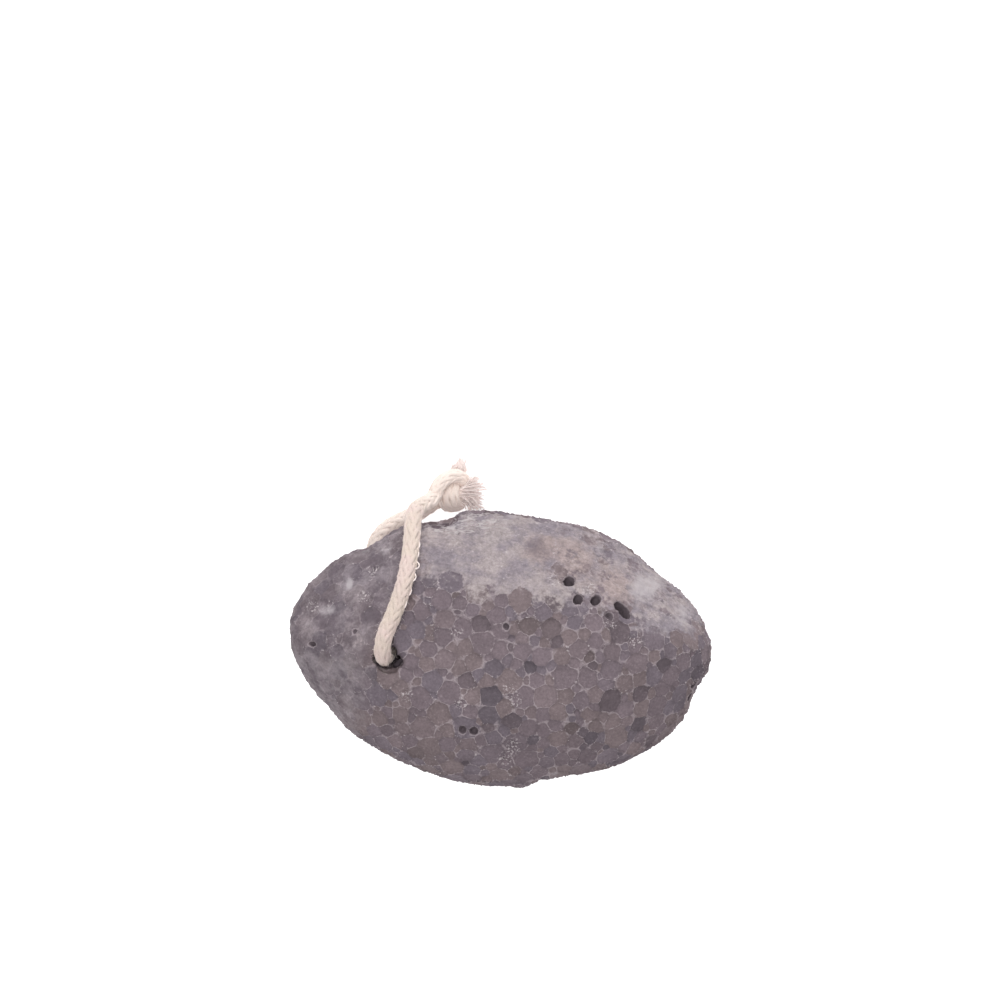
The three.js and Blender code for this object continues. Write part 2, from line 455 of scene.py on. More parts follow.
def press_yarns(mesh, lines, outs):
    """Flattens each yarn's round section against the cord, and tells how many points a ring has."""
    ring = len(mesh.vertices) // sum(len(points) for points in lines)
    places = read_points(mesh).reshape(-1, ring, 3)
    middles = np.vstack(lines)[:, None]
    out = np.vstack(outs)[:, None]
    offset = places - middles
    height = (offset * out).sum(axis=2, keepdims=True)
    move_points(mesh, middles + offset - out * height * (1 - YARN_FLATNESS))
    return ring


def keep_place_on_yarn(mesh, lines, ring):
    """Keeps how far along its yarn each point is, and where it is round it, for the material."""
    turns = np.tile(2 * math.pi * np.arange(ring) / ring, len(mesh.vertices) // ring)
    gone = [np.cumsum(link_lengths(points)) for points in lines]
    store(mesh, "along", np.repeat(np.concatenate(gone), ring) / MM)
    store(mesh, "around_x", np.cos(turns))
    store(mesh, "around_y", np.sin(turns))


def keep_painted_light_by_height(mesh):
    """Keeps how much paler the cotton is painted: 1 low down at the knot, in the stone's shade, 0 over the
    stone.
    """
    store(mesh, "painted_light_low", 1 - ramp(read_points(mesh)[:, 2], *PAINTED_LIGHT_LEVELS))


radius = cord_radii(line)
yarn_lines, yarn_outs = braid(line, radius)
band_here = in_band(np.arange(len(line)) * cord_length / len(line))
yarn_radii = [YARN_RADIUS * radius / CORD_RADIUS * (1 + BAND_YARN * band_here)] * len(yarn_lines)
core_out = frames_along(line)[1]
cord_lines, cord_outs = yarn_lines + [line], yarn_outs + [core_out]
cord_mesh = tubes("cotton_cord", cord_lines, yarn_radii + [CORE_SHARE * radius])
ring = press_yarns(cord_mesh, cord_lines, cord_outs)
keep_place_on_yarn(cord_mesh, cord_lines, ring)
keep_painted_light_by_height(cord_mesh)
close_ends(cord_mesh)
cord = add_object("cotton_cord", cord_mesh)
print("cord:", triangles(cord.data), "triangles in rings of", ring)

# %% [markdown]
# ## The cord: its loose fibres
#
# Both ends of the cord are cut and have come undone into soft brushes, a few loops are pulled out of
# the front run, and short hairs stand off it everywhere. Blender's hair would look right in a picture,
# but an export drops it. So every fibre is a thin tube of real mesh, and each sort is one joined piece.

# %% Helpers for fibres
fibre_rng = np.random.default_rng(21)
FIBRE_RADIUS = 0.026 * MM
FIBRE_POINTS = 7
SWAYS = (2.6, 5.8)  # how far round a slow and a quick bend of a fibre go, in radians
TABLE_GAP = 0.05 * MM  # how far above the table the lowest fibres stay


def flat_direction(degrees, lift):
    """Directions at angles round the vertical from +X, lifted by a share of their length."""
    angle = np.radians(degrees)
    return unit(np.column_stack([np.cos(angle), np.sin(angle), np.broadcast_to(lift, angle.shape)]))


def grow(starts, first, last, lengths, curl):
    """Fibres that start in one direction and bend to another, with a random curl."""
    share = np.linspace(0, 1, FIBRE_POINTS)[None, :, None]
    straight = (1 - share) ** 2
    way = first[:, None] * straight + last[:, None] * (1 - straight)
    sway = fibre_rng.normal(0, curl, (len(starts), 2, 3))
    slow, quick = (np.sin(turn * share) for turn in SWAYS)
    way = way + sway[:, :1] * slow + sway[:, 1:] * quick
    step = lengths[:, None, None] / (FIBRE_POINTS - 1)
    places = starts[:, None] + np.cumsum(way, axis=1) * step - way[:, :1] * step
    places[..., 2] = np.maximum(places[..., 2], TABLE_GAP)
    return list(places)


def add_fibres(name, lines, radii, sides_level=0):
    """Joins fibres into one piece of thin, closed tubes."""
    mesh = tubes(name, lines, radii, sides_level)
    close_ends(mesh)
    store(mesh, "loose", np.ones(len(mesh.vertices)))
    keep_painted_light_by_height(mesh)
    print(name + ":", len(lines), "fibres,", triangles(mesh), "triangles")
    return add_object(name, mesh)


def tapered(radius, count, tip=0.5):
    """The radii along each of so many fibres, which thin towards their tips."""
    return [np.linspace(1.0, tip, FIBRE_POINTS) * radius] * count


# %% Brushes at the two ends
STRANDS = 8  # how many strands each yarn opens into
STRAND_RADIUS = 0.17 * MM
OPENS_BEFORE = 0.6 * MM  # how far before the end of its yarn a strand leaves it
STRAY_START = 0.2 * MM  # how far from the yarn's line it may do so
END_LINKS = 5  # how many points of the cord show which way its end runs
STRAND_LENGTHS = (0.72, 1.0)  # as shares of how far the brush reaches
FINE_LENGTHS = (0.5, 1.08)


def fan_out(at, yarn, fan, lift, spread):
    """Where fibres of the given yarns start, and their first and last directions in the fan."""
    ends = np.array([points[at] for points in yarn_lines])
    ahead = unit(line[at] - line[END_LINKS if at == 0 else -END_LINKS - 1])
    across = np.cross((0, 0, 1), ahead)
    order = np.argsort(np.argsort((ends - line[at]) @ across))
    middle, half = fan
    turn = middle + half * (2 * order[yarn] / (len(ends) - 1) - 1)
    first = np.broadcast_to(ahead, (len(yarn), 3)) + fibre_rng.normal(0, 0.12, (len(yarn), 3))
    last = flat_direction(turn, lift + fibre_rng.normal(0, 0.16, len(ends))[yarn])
    last = unit(last + fibre_rng.normal(0, spread, (len(yarn), 3)))
    starts = ends[yarn] + fibre_rng.normal(0, STRAY_START, (len(yarn), 3)) - ahead * OPENS_BEFORE
    return starts, first, last


def brush(name, at, fibres, fan, lift, reach, spread):
    """A cut end come undone: each yarn opens into soft strands, with fine fibres among them."""
    yarn = np.repeat(np.arange(len(yarn_lines)), STRANDS)
    lengths = reach * fibre_rng.uniform(*STRAND_LENGTHS, len(yarn))
    lines = grow(*fan_out(at, yarn, fan, lift, spread), lengths, 0.2)
    radii = tapered(STRAND_RADIUS, len(lines))
    yarn = fibre_rng.integers(0, len(yarn_lines), fibres)
    lengths = reach * fibre_rng.uniform(*FINE_LENGTHS, fibres)
    lines += grow(*fan_out(at, yarn, fan, lift, spread * 1.3), lengths, 0.26)
    radii += tapered(FIBRE_RADIUS, fibres)
    return add_fibres(name, lines, radii)


upper_brush = brush("frayed_end_upper", 0, 240, (58, -20), 0.05, 2.9 * MM, 0.1)
lower_brush = brush("frayed_end_lower", -1, 500, (-8, 52), 0.04, 5.2 * MM, 0.15)

# %% Loops pulled out of the front run
# How far each lies towards the far edge, and how far it stands out from the cord, in millimetres.
PULLED_LOOPS = [
    (26.0, 0.35), (23.4, 0.45), (21.4, 0.4), (19.2, 1.0), (16.4, 0.7), (13.6, 0.45), (10.8, 0.35),
]
LOOP_SPAN = 2.1 * MM
LOOP_RADIUS = 0.15 * MM
LOOP_ROOT = 0.45 * MM  # how deep in the cord its two ends are
LOOP_POINTS = 11
FRONT_LEVEL = 26 * MM  # the front run of the cord is above this


def pulled_loops():
    """Short arcs of yarn that stand out from the right-hand side of the cord."""
    ahead, _, _ = frames_along(line)
    front = np.flatnonzero(line[:, 2] > FRONT_LEVEL)
    arcs = []
    share = np.linspace(-1, 1, LOOP_POINTS)
    for y, height in PULLED_LOOPS:
        at = min(front, key=lambda index: abs(line[index][1] - y * MM))
        out = unit(np.cross(ahead[at], (0, 0, 1)))
        out = unit(out if out[0] > 0 else -out) + np.array((0, 0, fibre_rng.uniform(0.0, 0.4)))
        bulge = CORD_RADIUS - LOOP_ROOT + height * MM * (1 - share**2)
        along = share * LOOP_SPAN / 2 * (1 + 0.25 * (1 - share**2))
        arcs.append(line[at] + np.outer(bulge, unit(out)) + np.outer(along, ahead[at]))
    return arcs


loop_lines = pulled_loops()
loops = add_fibres("pulled_loops", loop_lines, [LOOP_RADIUS] * len(loop_lines), 1)

# %% Fuzz all over the cord
HAIRS = 2400
HAIR_RADIUS = 0.014 * MM
HAIR_LENGTHS = (0.4, 1.0)  # millimetres
HAIR_LEANS = (0.35, 1.0)  # how steeply they stand off the cord


def fuzz():
    """Short hairs that leave the yarns at a low angle, apart from those that would enter the stone."""
    places, outs = np.vstack(yarn_lines), np.vstack(yarn_outs)
    ways = np.vstack([np.gradient(points, axis=0) for points in yarn_lines])
    pick = fibre_rng.choice(len(places), HAIRS, replace=False)
    starts = places[pick] + outs[pick] * YARN_RADIUS * 0.5
    forward = unit(ways[pick]) * fibre_rng.choice([-1, 1], HAIRS)[:, None]
    lean = fibre_rng.uniform(*HAIR_LEANS, HAIRS)[:, None]
    last = unit(outs[pick] * lean + fibre_rng.normal(0, 0.45, (HAIRS, 3)) + 0.5 * forward)
    lengths = fibre_rng.uniform(*HAIR_LENGTHS, HAIRS) * MM
    hairs = grow(starts, forward + 0.4 * outs[pick], last, lengths, 0.35)
    tree = stone_tree()
    clear = []
    for hair in hairs:
        near, normal, _, _ = tree.find_nearest(Vector(hair[-1]))
        if (Vector(hair[-1]) - near).dot(normal) > 0:
            clear.append(hair)
    return clear


fuzz_lines = fuzz()
cord_fuzz = add_fibres("cord_fuzz", fuzz_lines, tapered(HAIR_RADIUS, len(fuzz_lines), 0.4))

# %% [markdown]
# ## The stone: its body and open pores
#
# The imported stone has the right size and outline, but flat facets. A copy of it is merged, the open
# pores are cut out of it, and a voxel remesh turns that into one even, fine skin.
#
# A pore could be a dent pressed into the skin, but its steep wall would stretch the faces there.
# Cutting a small ball out before the remesh gives the wall faces of its own.

# %% Where the open pores are
# Each is x, y, half its length, half its width and its turn in degrees, in millimetres on the face.
FACE_PORES = [
    (15.4, 15.5, 1.4, 1.95, 0), (17.2, 11.4, 1.3, 1.5, 0), (21.4, 11.2, 1.25, 1.7, 0),
    (27.4, 9.3, 2.6, 1.75, -22), (24.3, 7.7, 0.9, 0.8, 0), (-8.5, -18.0, 0.85, 0.95, 0),
    (-5.9, -18.3, 1.05, 1.05, 0), (-6.7, -17.2, 0.5, 0.5, 0), (-3.3, -17.4, 0.55, 0.55, 0),
    (-8.8, -21.5, 0.6, 0.6, 0), (-1.7, -21.1, 1.0, 0.6, 0), (-9.9, 3.6, 0.85, 0.5, 20),
    (-11.2, 2.6, 0.6, 0.5, 10), (1.2, 5.4, 0.65, 0.85, 0), (-32.6, 4.2, 0.7, 0.6, 0),
    (-42.2, 1.2, 0.75, 1.35, 0), (-43.8, 1.2, 0.5, 0.8, 0), (-44.4, 3.7, 0.5, 0.5, 0),
    (-24.6, 20.8, 0.8, 0.55, -40), (4.3, 27.1, 0.5, 0.9, -30),
]
PORE_DEPTH = 1.5  # how deep a pore is, in half-widths
PORE_SINK = 0.3  # how far the middle of its ball lies under the skin, as a share of that depth
PORE_MARGIN = 1.25  # how far round a pore the skin belongs to it, in its own radii
PORE_INSIDE = 0.35  # the level in its ball, in its own radii, below which the skin is well inside
HIDDEN_PORES = 46  # how many there are on the sides and the underside, at random
HIDDEN_FACING = 0.35  # the sides and the underside face up less than this
HIDDEN_WIDTHS = (0.5, 1.4)  # half their width, in millimetres
HIDDEN_STRETCH = (1.0, 1.4)  # how much longer than wide they are
print(len(FACE_PORES), "pores on the face")

# %% Cut the pores and remesh
SKIN_STEP = 0.465 * MM
rng = np.random.default_rng(7)


def pore_frame(point, normal, long, wide, turn):
    """The matrix that makes a ball of radius 1 into one pore: squat, just under the skin, facing it."""
    deep = PORE_DEPTH * (long + wide) / 2
    place = Matrix.Translation(point - normal * deep * PORE_SINK)
    facing = normal.to_track_quat("Z", "Y").to_matrix().to_4x4()
    return place @ facing @ Matrix.Rotation(turn, 4, "Z") @ Matrix.Diagonal((long, wide, deep, 1))


def pore_frames(body):
    """The frames of all the pores: those on the face as listed, the others at random."""
    tree = BVHTree.FromBMesh(body)
    frames = []
    for x, y, long, wide, turn in FACE_PORES:
        point, normal, _, _ = tree.ray_cast(Vector((x * MM, y * MM, 0.1)), Vector((0, 0, -1)))
        frames.append(pore_frame(point, normal, long * MM, wide * MM, math.radians(turn)))
    hidden = [v for v in body.verts if v.normal.z < HIDDEN_FACING and v.co.z > 1 * MM]
    for index in rng.choice(len(hidden), HIDDEN_PORES, replace=False):
        wide = rng.uniform(*HIDDEN_WIDTHS) * MM
        long, turn = wide * rng.uniform(*HIDDEN_STRETCH), rng.uniform(0, math.pi)
        frames.append(pore_frame(hidden[index].co, hidden[index].normal, long, wide, turn))
    return frames


def remeshed_stone():
    """The pebble with its hole and open pores as one even skin of small faces, and the pores."""
    body = packed_stone()
    frames = pore_frames(body)
    balls = bmesh.new()
    for pore in frames:
        bmesh.ops.create_icosphere(balls, subdivisions=2, radius=1, matrix=pore)
    cutters = add_object("pore_cutters", bpy.data.meshes.new("pore_cutters"))
    balls.to_mesh(cutters.data)
    stone = add_object("pumice_stone", bpy.data.meshes.new("pumice_stone"))
    body.to_mesh(stone.data)
    balls.free()
    body.free()
    cut = stone.modifiers.new("open pores", "BOOLEAN")
    cut.operation = "DIFFERENCE"
    cut.solver = "EXACT"
    cut.use_self = True
    cut.object = cutters
    skin = stone.modifiers.new("even skin", "REMESH")
    skin.mode = "VOXEL"
    skin.voxel_size = SKIN_STEP
    smooth = stone.modifiers.new("soften", "SMOOTH")
    smooth.factor = 0.5
    smooth.iterations = 2
    apply_modifiers(stone)
    bpy.data.objects.remove(cutters)
    return stone, frames


def hollowness(points, frames):
    """How deep inside a pore each point is, from 0 at the skin to 1 well inside."""
    inside = np.zeros(len(points))
    rows = np.column_stack([points, np.ones(len(points))])
    for pore in frames:
        local = (rows @ np.array(pore.inverted()).T)[:, :3]
        near = np.linalg.norm(local, axis=1) < PORE_MARGIN
        inside = np.maximum(inside, near * ramp(-local[:, 2], -PORE_SINK, PORE_INSIDE))
    return inside


stone, pores = remeshed_stone()
skin = read_points(stone.data)
facing = read_points(stone.data, "normal")
hollow = hollowness(skin, pores)
print("stone skin:", len(skin), "points, inside pores:", int((hollow > 0.5).sum()))

# %% [markdown]
# ## The stone: its bead cells
#
# The real stone is foam. Round beads, one to five millimetres wide, were pressed together until they
# met in thin, pale walls, and wear has cut them open. Blender's Voronoi texture makes such cells, but
# all of one size and with straight walls. Here the beads are packed as discs of mixed sizes, from
# large to small, and a point of the skin belongs to the bead whose rim is nearest. The wall between
# a large and a small bead then bends round the small one, as it does in the real foam.
#
# The walls are thinner than the faces of the skin, so a mask kept on its points would blur them. The
# beads are therefore sorted into a few sets in which no two beads touch, and the skin keeps, for each
# set, how far the nearest rim is. That number is smooth across a wall, so the material can compare
# the sets and find the wall as a sharp line.

# %% Pack the beads
BEAD_SIZES = [2.75, 2.4, 2.05, 1.75, 1.45, 1.15, 0.9, 0.7]  # radii in millimetres, largest first
BEAD_LIMITS = [60, 120, 230, 300, 330, 300, 300, 300]  # how many of each at most
BEAD_TRIES = 5200  # places tried for each size
BEAD_OVERLAP = 0.84  # how near two beads may be, as a share of the sum of their radii
BEAD_SPREAD = (0.92, 1.08)  # how much the beads of one size differ
RANKS = (1, 3.5)  # how strongly the weakest and the strongest bead keep their round outline
DARK_RANK = 4.5  # and how strongly the dark ones on the face do
RANK_STEP = 0.618  # spreads the ranks evenly over the beads
BLOCKS = 60  # the skin is gone through in this many parts, to save memory
WOBBLE = 0.2 * MM  # how far the walls stray from true arcs
WOBBLE_SIZE = 1.6 * MM
# Beads on the face that are darker than the rest: x, y and radius in millimetres.
DARK_BEADS = [
    (26.6, 3.9, 2.5), (19.7, -1.6, 1.1), (6.7, -3.8, 1.25), (-7.6, -6.8, 1.8), (2.8, -16.0, 1.9),
    (7.0, -20.3, 1.35), (31.5, -10.0, 2.0), (24.4, -11.6, 2.5), (15.9, -17.2, 1.4), (20.1, -19.8, 1.6),
    (12.4, 11.1, 2.3), (-4.3, 5.7, 1.9), (11.2, 4.9, 2.1), (12.7, 2.0, 1.1), (-2.0, -10.6, 2.3),
    (6.1, 5.5, 1.9), (-28.7, 7.4, 2.3), (36.5, -3.5, 1.7), (30.8, -17.0, 1.8),
]


def on_face(x, y):
    """The point of the skin's upper side that is nearest to a place given in millimetres."""
    away = np.hypot(skin[:, 0] - x * MM, skin[:, 1] - y * MM) + (skin[:, 2] < WIDEST_LEVEL)
    return skin[np.argmin(away)]


def pack_beads(points):
    """Puts beads on the skin, the dark ones and then large ones first; their centres and radii."""
    centres = np.array([on_face(x, y) for x, y, _ in DARK_BEADS])
    radii = np.array([size for _, _, size in DARK_BEADS]) * MM
    for radius, limit in zip(BEAD_SIZES, BEAD_LIMITS):
        placed = 0
        for place in points[rng.choice(len(points), BEAD_TRIES, replace=False)]:
            size = radius * MM * rng.uniform(*BEAD_SPREAD)
            apart = np.linalg.norm(centres - place, axis=1)
            if placed < limit and np.all(apart > BEAD_OVERLAP * (radii + size)):
                centres = np.vstack([centres, place])
                radii = np.append(radii, size)
                placed += 1
    return centres, radii


def bead_rank(count):
    """How strongly each bead keeps its round outline: the dark ones on the face the most."""
    weakest, strongest = RANKS
    rank = weakest + (strongest - weakest) * (np.arange(count) * RANK_STEP % 1) ** 2
    rank[: len(DARK_BEADS)] = DARK_RANK
    return rank


def rims_from(points, centres, radii):
    """How far each point is outside the rim of each bead, as one row for each point.

    Inside a bead the number is negative. It grows faster for some beads than for others, so that
    those beads keep their round outline where they meet others.
    """
    squares = (points**2).sum(axis=1)[:, None] + (centres**2).sum(axis=1) - 2 * points @ centres.T
    rims = np.sqrt(np.maximum(squares, 0)) - radii
    return np.where(rims < 0, rims * bead_rank(len(radii)), rims)


def sort_into_sets(points, centres, radii):
    """Gives each bead the number of a set, so that beads which meet are in different sets."""
    meets = [set() for _ in radii]
    for block in np.array_split(points, BLOCKS):
        rims = rims_from(block, centres, radii)
        first_three = np.argpartition(rims, 2, axis=1)[:, :3]
        for trio in np.unique(np.sort(first_three, axis=1), axis=0):
            for bead in trio:
                meets[bead].update(trio)
    sets = np.full(len(radii), -1)
    for bead in sorted(range(len(radii)), key=lambda bead: -len(meets[bead])):
        taken = {sets[other] for other in meets[bead]}
        sets[bead] = next(number for number in range(len(radii)) if number not in taken)
    return sets


def nearest_in_sets(points, centres, radii, sets):
    """For each point and each set: how far the nearest rim is, and which bead's rim that is."""
    rows, beads = [], []
    members = [np.flatnonzero(sets == number) for number in range(sets.max() + 1)]
    for block in np.array_split(points, BLOCKS):
        rims = rims_from(block, centres, radii)
        rows.append(np.column_stack([rims[:, group].min(axis=1) for group in members]))
        beads.append(np.column_stack([group[rims[:, group].argmin(axis=1)] for group in members]))
    return np.vstack(rows), np.vstack(beads)


centres, radii = pack_beads(skin)
stray = np.column_stack([noise_at(skin, WOBBLE_SIZE, seed) for seed in (21, 22, 23)])
places = skin + WOBBLE * stray
bead_sets = sort_into_sets(places, centres, radii)
set_rims, set_beads = nearest_in_sets(places, centres, radii, bead_sets)
SETS = set_rims.shape[1]
print(len(radii), "beads in", SETS, "sets, mean width", round(2 * float(radii.mean()) / MM, 1), "mm")

# %% Which bead each point is in
order = np.argsort(set_rims, axis=1)
bead = np.take_along_axis(set_beads, order, axis=1)[:, 0]
near_rims = np.take_along_axis(set_rims, order, axis=1)
wall = (near_rims[:, 1] - near_rims[:, 0]) / 2  # how far each point is from the wall of its bead
print("points within 0.2 mm of a wall:", int((wall < 0.2 * MM).sum()))

# %% [markdown]
# ## The stone: wear and painted light
#
# Wear decides how much of the foam shows. The two bevels along the far edge are rubbed pale, and part
# of their pallor is painted light, because they face the far softbox. The left end round the hole is
# smeared and lumpy, the face is worn flat with its walls just standing proud, and on the flanks each bead
# is still a dish. The same masks move the skin here and colour it later, so they are kept on the mesh.

# %% Where the stone is worn, and where its bevels are painted lighter
# Each bevel: its outward direction, and how squarely the skin faces it where wear and painted light start and
# are full.
BEVELS = [
    (np.array([0.08, 0.71, 0.70]), 0.86, 0.96),
    (np.array([0.46, 0.68, 0.56]), 0.84, 0.96),
]
# Pale (above 0) and dark (below 0) patches: x, y, radius in millimetres and strength. The pale ones on
# the left shoulder are worn spots whose shine is painted on as pale highlights.
PATCHES_AND_HIGHLIGHTS = [
    (-33.9, 14.0, 0.9, 1.0), (-33.8, 15.4, 0.9, 0.9), (-39.5, 8.3, 1.7, 0.8), (-37.6, 9.2, 1.2, 0.5),
    (-25.6, 22.6, 2.4, 0.6), (-31.1, 22.2, 1.8, 0.5), (-43.5, 6.0, 1.2, 0.5), (-28.7, 7.4, 2.2, -0.8),
    (-38.6, 15.4, 2.2, -0.8), (-26.8, 15.0, 1.9, -0.8), (-33.8, 6.7, 1.5, -0.8), (-32.6, 4.3, 0.9, -0.8),
    (-43.0, 10.7, 1.3, -0.6), (-37.0, 19.0, 1.6, 0.5), (12.0, -28.6, 2.6, 0.5), (-2.5, 24.3, 2.4, 0.5),
    (9.0, 21.8, 2.6, -0.5), (16.0, 19.5, 3.0, 0.55), (30.5, 13.5, 3.2, 0.6), (-17.0, 16.0, 3.2, -0.45),
    (-9.0, 28.8, 2.4, 0.5), (2.0, 29.6, 3.0, 0.55), (12.0, 28.0, 3.0, 0.35), (22.0, 22.5, 3.5, 0.5),
    (34.0, 14.0, 3.6, 0.7), (41.0, 7.5, 3.0, 0.7), (-3.0, 22.5, 3.4, -0.4), (7.0, 23.0, 2.6, -0.55),
    (-10.0, 17.0, 2.6, -0.4), (13.5, 19.5, 2.4, -0.4), (1.0, 18.0, 2.5, -0.3), (37.0, 4.0, 2.5, 0.4),
]
# Where rubbed skin is warmer in colour, in the same way.
WARM_SPOTS = [
    (9.0, 22.5, 4.5, 0.8), (17.0, 20.0, 5.5, 0.9), (26.5, 13.5, 5.0, 0.9), (-30.0, 3.0, 4.0, 0.5),
]
# Where white grit is left in the gaps between beads: x and y in millimetres.
GRIT_SPOTS = [
    (1.9, -8.8), (3.5, -11.4), (-9.0, -12.0), (3.0, -21.4), (1.0, -24.5), (12.1, 15.6), (-9.8, 4.0),
    (24.6, 6.0), (19.8, 13.6), (-21.0, -10.0), (30.0, 2.0), (-28.6, 17.6), (-30.6, 11.8), (-42.2, 9.8),
]
GRIT_RADIUS = 1.7  # millimetres
BLOB_EDGE = 0.9  # how fast a blob fades towards its rim
WANDER = 0.07  # how far the edge of the wear and painted light wanders, in how squarely the skin faces the bevel
BEAD_SHARE = 0.7  # how much of the wear and painted light is the same all over a bead
BEAD_CHANCE = 0.22  # how much the beads at the edge of the wear and painted light differ
FLANK_FACING = (0.35, 0.85)  # the flanks face up or down less than the first, the face more than the second


def blobs(points, spots):
    """Soft round blobs on the upper side: the sum of their strengths at each point."""
    upper = points[:, 2] > WIDEST_LEVEL
    total = np.zeros(len(points))
    for x, y, radius, strength in spots:
        away = np.hypot(points[:, 0] - x * MM, points[:, 1] - y * MM) / (radius * MM)
        total += strength * np.exp(-(away**2) * BLOB_EDGE) * upper
    return total


def bevel_wear_and_light(points, directions):
    """1 on the two rubbed bevels, which are also painted lighter, 0 elsewhere, with an edge that wanders."""
    wander = WANDER * noise_at(points, 5 * MM, seed=3, octaves=3)
    worn_and_lit = np.zeros(len(points))
    for out, low, high in BEVELS:
        worn_and_lit = np.maximum(worn_and_lit, ramp(directions @ unit(out) + wander, low, high))
    return worn_and_lit


def wear_and_light_by_bead(worn_and_lit):
    """The wear and painted light, mostly even over each bead, so that its edge follows the beads' outlines.
    """
    count = len(radii)
    bead_wear = np.bincount(bead, worn_and_lit, count) / np.maximum(np.bincount(bead, minlength=count), 1)
    bead_wear += rng.normal(0, BEAD_CHANCE, count) * (bead_wear > 0.02) * (bead_wear < 0.98)
    return (1 - BEAD_SHARE) * worn_and_lit + BEAD_SHARE * np.clip(bead_wear, 0, 1)[bead]


def kept_beads(points):
    """1 in spots on the right-hand bevel that are worn, and painted lighter, only half as much, 0 elsewhere.
    """
    right = ramp(points[:, 0], 6 * MM, 20 * MM)
    return right * ramp(noise_at(points, 5 * MM, seed=13), -0.2, 0.3)


def left_smear(points):
    """1 where the upper side of the left end is smeared, 0 elsewhere."""
    end = ramp(-points[:, 0] + 0.35 * points[:, 1], 22 * MM, 33 * MM)
    end *= ramp(points[:, 2], 8 * MM, 20 * MM)
    return np.clip(end + 0.3 * noise_at(points, 7 * MM, seed=8), 0, 1) * ramp(end, 0.0, 0.3)


wear_and_painted_light = wear_and_light_by_bead(bevel_wear_and_light(skin, facing)) * (1 - 0.5 * kept_beads(skin))
smear = left_smear(skin)
flank = 1 - ramp(np.abs(facing[:, 2]), *FLANK_FACING)
grit = np.clip(blobs(skin, [(x, y, GRIT_RADIUS, 1.0) for x, y in GRIT_SPOTS]), 0, 1)
print("worn share of the skin:", round(float(wear_and_painted_light.mean()), 3), "smeared:", round(float(smear.mean()), 3))

# %% Folds at the far edge, and painted rim light
FOLD_MIDDLE = (-8.5, 28.4)  # x and y, in millimetres
FOLD_REACH = (10.5, 3.2)  # how far the folds reach along the edge and across it
FOLD_LEVELS = (14, 21)  # they begin at the first level and are full from the second


def folds(points):
    """1 where the skin is crumpled in thin folds that run along the far edge, 0 elsewhere."""
    away = (points[:, :2] / MM - FOLD_MIDDLE) / FOLD_REACH
    patch = np.exp(-(away**2).sum(axis=1))
    return np.clip(1.5 * patch, 0, 1) * ramp(points[:, 2] / MM, *FOLD_LEVELS)


def left_side(points):
    """1 on the left of the skin, on the near side, which is painted paler as rim light, 0 elsewhere."""
    return ramp(-points[:, 0], 22 * MM, 34 * MM) * ramp(-points[:, 1], -8 * MM, 4 * MM)


fold = folds(skin)
print("folded share of the skin:", round(float(fold.mean()), 4))

# %% Dish the beads and raise their walls
# Small chips, and humps where the depth is below 0: x, y, z, radius and depth in millimetres.
CHIPS = [
    (-12.8, 29.0, 20.0, 3.2, 1.7), (-17.5, 28.0, 20.0, 3.0, 0.6), (-29.0, 25.2, 18.0, 5.0, 1.7),
    (-22.0, 26.5, 20.0, 3.0, 0.5), (9.6, -29.4, 19.5, 1.3, 1.1), (14.6, -28.6, 19.0, 2.2, 0.5),
    (-22.3, -0.4, 39.2, 1.4, -1.0), (46.2, -5.2, 19.5, 3.6, -1.0), (29.2, 22.4, 19.5, 4.0, -0.6),
    (4.8, -30.8, 19.5, 2.6, -0.8), (-41.0, -9.0, 19.5, 4.0, -0.4), (-34.0, -18.0, 19.5, 4.0, -0.5),
    (-39.0, -9.5, 19.0, 2.4, 0.5), (40.5, -10.0, 19.0, 1.8, 0.6), (28.0, -22.6, 19.0, 1.6, 0.5),
    (46.0, 3.5, 20.0, 1.6, 0.5),
]
CHIP_SHAPE = (1, 1, 0.45)  # each is about twice as tall as it is wide
DISH_DEPTHS = (0.03, 0.16)  # how deep a bead is dished, in millimetres
OPEN_DEPTHS = (0.3, 0.6)  # the same for the few beads that are well open
OPEN_CHANCE = 0.06
DARK_DEPTHS = (0.25, 0.45)  # the same for the dark beads
DISH_RIM = 0.6  # how far in from its wall a bead has its full depth, as a share of its radius
LARGE_BEAD = 1.6 * MM
WALL_HEIGHT = 0.10 * MM
WALL_WIDTH = 0.26 * MM
FLANK_DISH = 0.5 * MM  # how much deeper a large bead is dished on the flanks
FLANK_GAIN = 0.18 * MM  # the walls on the flanks stand proud by this much
LUMP_HEIGHT = 0.24 * MM
ROUGH_HEIGHT = 0.07 * MM
GRIT_DEPTH = 0.45 * MM  # how far the skin steps down among the grit


def chipped(points):
    """How deep the skin is chipped at each point."""
    depth = np.zeros(len(points))
    for x, y, z, radius, deep in CHIPS:
        away = (points - np.array((x, y, z)) * MM) * CHIP_SHAPE / (radius * MM)
        away = np.linalg.norm(away, axis=1)
        depth += deep * MM * np.exp(-(away**2))
    return depth


def bead_depths(count):
    """How deep each bead is dished: most hardly at all, a few of them well open."""
    depth = rng.uniform(*DISH_DEPTHS, count)
    open_bead = rng.random(count) < OPEN_CHANCE
    depth[open_bead] = rng.uniform(*OPEN_DEPTHS, int(open_bead.sum()))
    depth[: len(DARK_BEADS)] = rng.uniform(*DARK_DEPTHS, len(DARK_BEADS))
    return depth * MM


